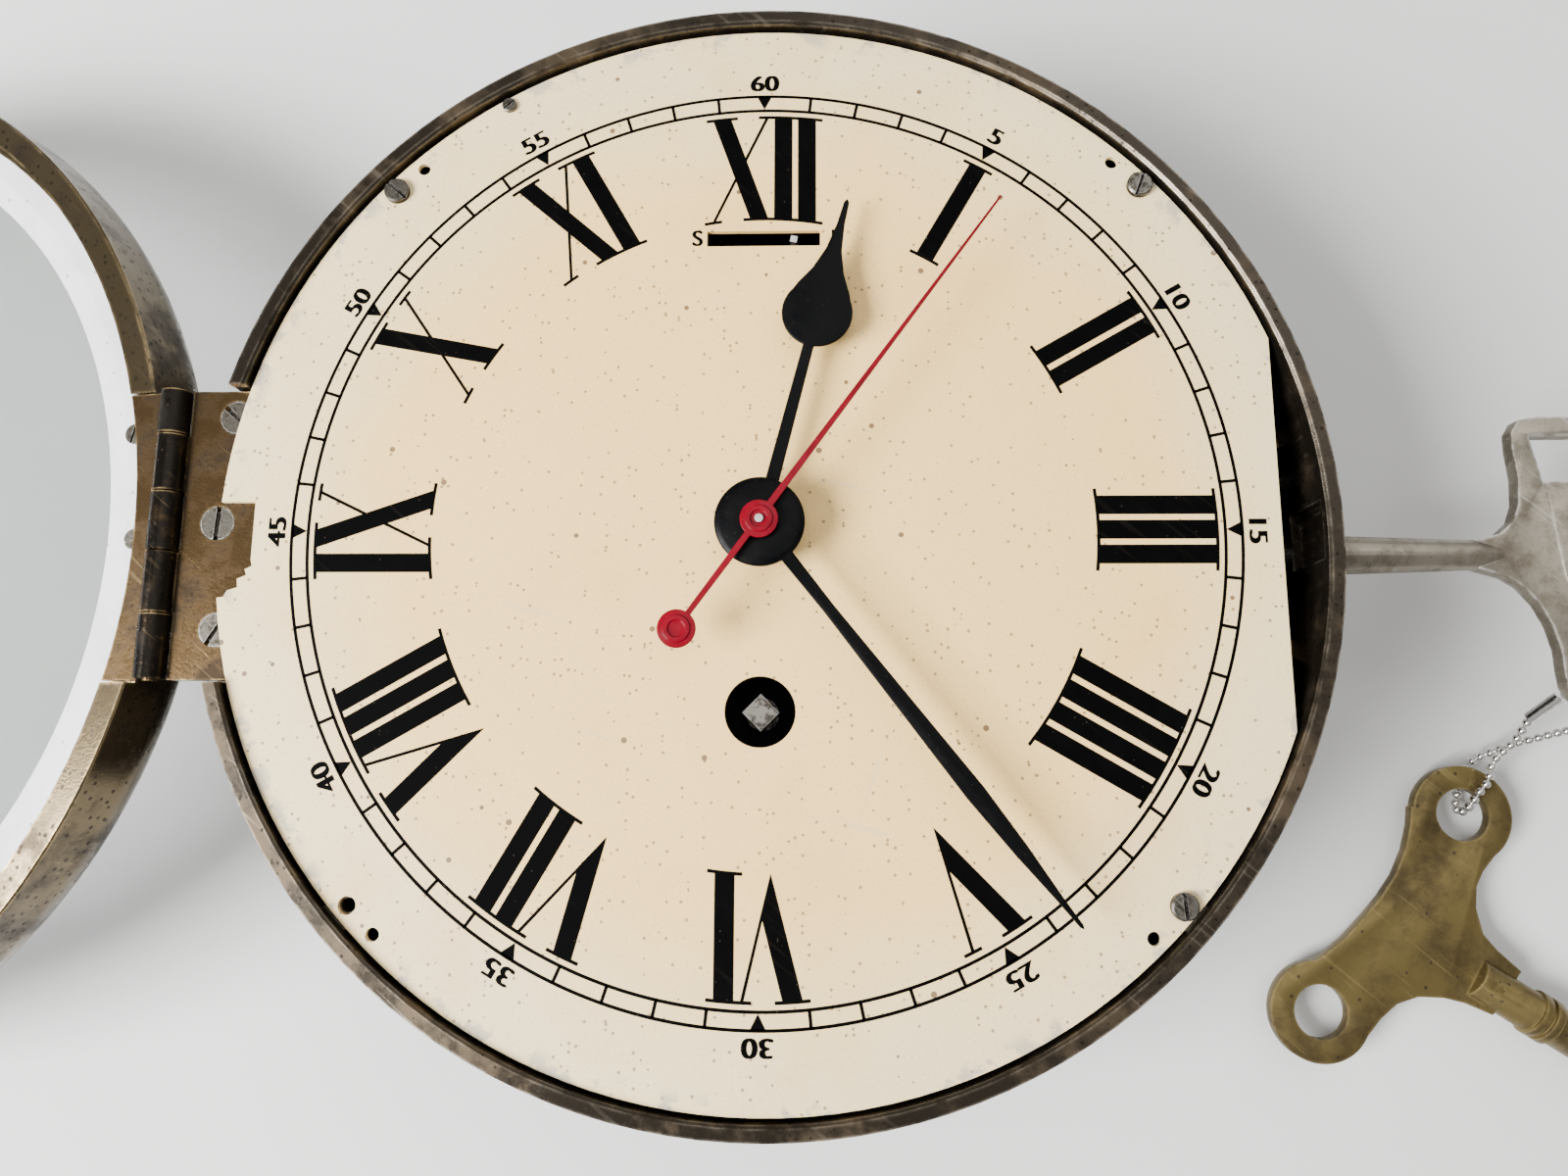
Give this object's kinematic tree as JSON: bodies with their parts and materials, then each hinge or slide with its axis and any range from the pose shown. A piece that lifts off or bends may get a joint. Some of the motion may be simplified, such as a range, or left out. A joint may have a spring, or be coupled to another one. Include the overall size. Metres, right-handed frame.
{
  "type": "ship's bulkhead clock",
  "caption": "Round brass ship's bulkhead clock on its back, hinged glazed bezel swung open, cream roman dial, black hands, red sweep seconds hand, winding movement, lock key and winding key.",
  "frame": {"origin": "middle of the back face, on the axis of the hands", "axes": "+Z out through the dial, +Y towards twelve, +X towards three; the bezel is open towards -X"},
  "size_m": [0.5241, 0.236, 0.07],
  "materials": {
    "case brass": "dark tarnished",
    "bezel brass": "tarnished, worn edges",
    "hinge brass": "tarnished",
    "movement brass": "lacquered",
    "dial paint": "aged cream enamel",
    "glass": "polished",
    "silvered ring": "satin white",
    "hand black": "satin black",
    "hand red": "gloss crimson",
    "screw steel": "worn",
    "movement steel": "polished",
    "spring steel": "blued",
    "blackened steel": "black oxide",
    "lock key steel": "worn plating",
    "key brass": "tarnished",
    "chain nickel": "bright"
  },
  "bodies": {
    "case": {"case_body": "case brass", "dial_plate": "dial paint", "dial_screws": "screw steel", "dial_small_screw": "screw steel", "dial_pillars": "movement brass", "hinge_case_leaf": "hinge brass", "hinge_case_screws": "screw steel", "hinge_pin": "hinge brass", "lock_bracket": "hinge brass", "movement_front_plate": "movement brass", "movement_back_plate": "movement brass", "movement_pillars": "movement brass", "plate_screws": "spring steel", "click_screw": "blackened steel", "click_spring": "blackened steel", "motion_stud": "movement steel", "pallet_cock": "movement brass", "balance_cock": "movement brass", "cock_screws": "spring steel"},
    "bezel": {"bezel_ring": "bezel brass", "bezel_glass": "glass", "sight_ring": "silvered ring", "hinge_bezel_leaf": "hinge brass", "sight_ring_screws": "screw steel", "latch_tongue": "bezel brass"},
    "lock": {"lock_spindle": "movement steel", "lock_cam": "movement steel", "lock_key": "lock key steel"},
    "winding_key": {"winding_key": "key brass", "winding_key_pin": "key brass", "bead_chain": "chain nickel", "chain_coupling": "chain nickel"},
    "winding_arbor": {"barrel_arbor": "movement steel", "ratchet_wheel": "blackened steel"},
    "barrel": {"barrel": "movement brass", "barrel_cover": "movement brass", "mainspring": "spring steel"},
    "intermediate": {"intermediate_arbor": "movement steel", "intermediate_wheel": "movement brass"},
    "minute_arbor": {"minute_arbor": "movement steel", "minute_wheel": "movement brass"},
    "third": {"third_arbor": "movement steel", "third_wheel": "movement brass"},
    "seconds": {"seconds_arbor": "movement steel", "seconds_wheel": "movement brass", "seconds_hand": "hand red"},
    "escape": {"escape_arbor": "movement steel", "escape_wheel": "movement steel"},
    "minute_hand": {"cannon_pinion": "movement brass", "minute_hand": "hand black"},
    "motion": {"motion_wheel": "movement brass"},
    "hour_hand": {"hour_wheel": "movement brass", "hour_hand": "hand black"},
    "lever": {"pallet_lever": "movement steel", "pallet_arbor": "movement steel"},
    "balance": {"balance_wheel": "movement brass", "balance_staff": "movement steel", "hairspring": "spring steel"},
    "regulator": {"regulator_index": "movement steel"}
  },
  "joints": [
    {"name": "bezel_hinge", "type": "hinge", "parent": "case", "child": "bezel", "pos_m": [-0.1125, 0, 0.059], "axis": [0, 1, 0], "range_deg": [0, 190.1]},
    {"name": "lock_turn", "type": "hinge", "parent": "case", "child": "lock", "pos_m": [0.1, 0, 0.035], "axis": [1, 0, 0], "range_deg": [0, 90], "deforming": ["bead_chain", "chain_coupling"]},
    {"name": "winding_key_lift", "type": "slide", "parent": "case", "child": "winding_key", "axis": [0, 0, 1], "range_m": [0, 0.08], "deforming": ["bead_chain", "chain_coupling"]},
    {"name": "winding_turn", "type": "hinge", "parent": "case", "child": "winding_arbor", "pos_m": [0, -0.0333, 0.04], "axis": [0, 0, 1], "range_deg": [-1920, 0], "deforming": ["mainspring", "click_spring"]},
    {"name": "seconds_spin", "type": "hinge", "parent": "case", "child": "seconds", "pos_m": [0, 0, 0.04], "axis": [0, 0, 1], "continuous": true},
    {"name": "barrel_spin", "type": "hinge", "parent": "case", "child": "barrel", "pos_m": [0, -0.0333, 0.03], "axis": [0, 0, 1], "continuous": true},
    {"name": "intermediate_spin", "type": "hinge", "parent": "case", "child": "intermediate", "pos_m": [0.02737, -0.02255, 0.04], "axis": [0, 0, 1], "continuous": true},
    {"name": "minute_arbor_spin", "type": "hinge", "parent": "case", "child": "minute_arbor", "pos_m": [0.01891, -0.00333, 0.04], "axis": [0, 0, 1], "continuous": true},
    {"name": "third_spin", "type": "hinge", "parent": "case", "child": "third", "pos_m": [0.01109, 0.01288, 0.04], "axis": [0, 0, 1], "continuous": true},
    {"name": "escape_spin", "type": "hinge", "parent": "case", "child": "escape", "pos_m": [-0.00572, 0.01571, 0.04], "axis": [0, 0, 1], "continuous": true},
    {"name": "minute_hand_spin", "type": "hinge", "parent": "case", "child": "minute_hand", "pos_m": [0, 0, 0.06], "axis": [0, 0, 1], "continuous": true},
    {"name": "motion_spin", "type": "hinge", "parent": "case", "child": "motion", "pos_m": [-0.01738, -0.00633, 0.047], "axis": [0, 0, 1], "continuous": true},
    {"name": "hour_hand_spin", "type": "hinge", "parent": "case", "child": "hour_hand", "pos_m": [0, 0, 0.055], "axis": [0, 0, 1], "continuous": true},
    {"name": "lever_rock", "type": "hinge", "parent": "case", "child": "lever", "pos_m": [-0.00352, 0.02236, 0.046], "axis": [0, 0, 1], "range_deg": [-4, 4]},
    {"name": "balance_swing", "type": "hinge", "parent": "case", "child": "balance", "pos_m": [0, 0.033, 0.05], "axis": [0, 0, 1], "range_deg": [-150, 150], "stiffness_Nm_per_rad": 0.00001, "deforming": ["hairspring"]},
    {"name": "regulator_swing", "type": "hinge", "parent": "case", "child": "regulator", "pos_m": [0, 0.033, 0.057], "axis": [0, 0, 1], "range_deg": [-4.5, 31]}
  ],
  "couplings": [
    {"joint": "barrel_spin", "follows": "seconds_spin", "ratio": 0.00046296},
    {"joint": "intermediate_spin", "follows": "seconds_spin", "ratio": -0.0027778},
    {"joint": "minute_arbor_spin", "follows": "seconds_spin", "ratio": 0.016667},
    {"joint": "third_spin", "follows": "seconds_spin", "ratio": -0.13333},
    {"joint": "escape_spin", "follows": "seconds_spin", "ratio": -10},
    {"joint": "minute_hand_spin", "follows": "seconds_spin", "ratio": 0.016667},
    {"joint": "motion_spin", "follows": "seconds_spin", "ratio": -0.0055556},
    {"joint": "hour_hand_spin", "follows": "seconds_spin", "ratio": 0.0013889}
  ]
}
